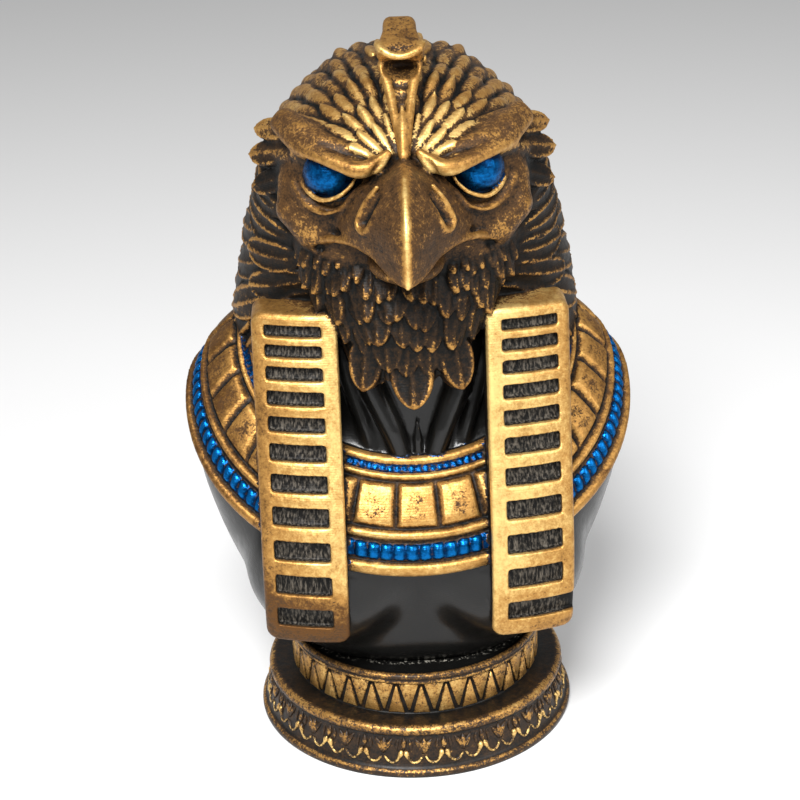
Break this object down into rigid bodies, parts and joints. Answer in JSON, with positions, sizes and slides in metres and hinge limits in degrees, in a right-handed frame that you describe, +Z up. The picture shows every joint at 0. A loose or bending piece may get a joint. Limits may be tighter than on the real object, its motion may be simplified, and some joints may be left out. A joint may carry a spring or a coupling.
{
  "type": "horus bust",
  "caption": "Desk bust of a falcon-headed figure with striped lappets and a broad collar, on a round stepped plinth, in black with brushed gold and metallic blue",
  "frame": {"origin": "middle of the plinth's flat underside", "axes": "+Z up; the face and beak point along -Y; +X is the viewer's right when the figure is seen from the front"},
  "size_m": [0.0916, 0.0812, 0.15],
  "materials": {
    "bust": "cast and painted: black ground, dry-brushed gold and brown, metallic blue on the eyes and the collar's bands",
    "plinth": "cast and painted: black ground, dry-brushed bronze on the rims and the relief"
  },
  "bodies": {
    "root": {"bust": "bust", "plinth": "plinth"}
  },
  "joints": []
}
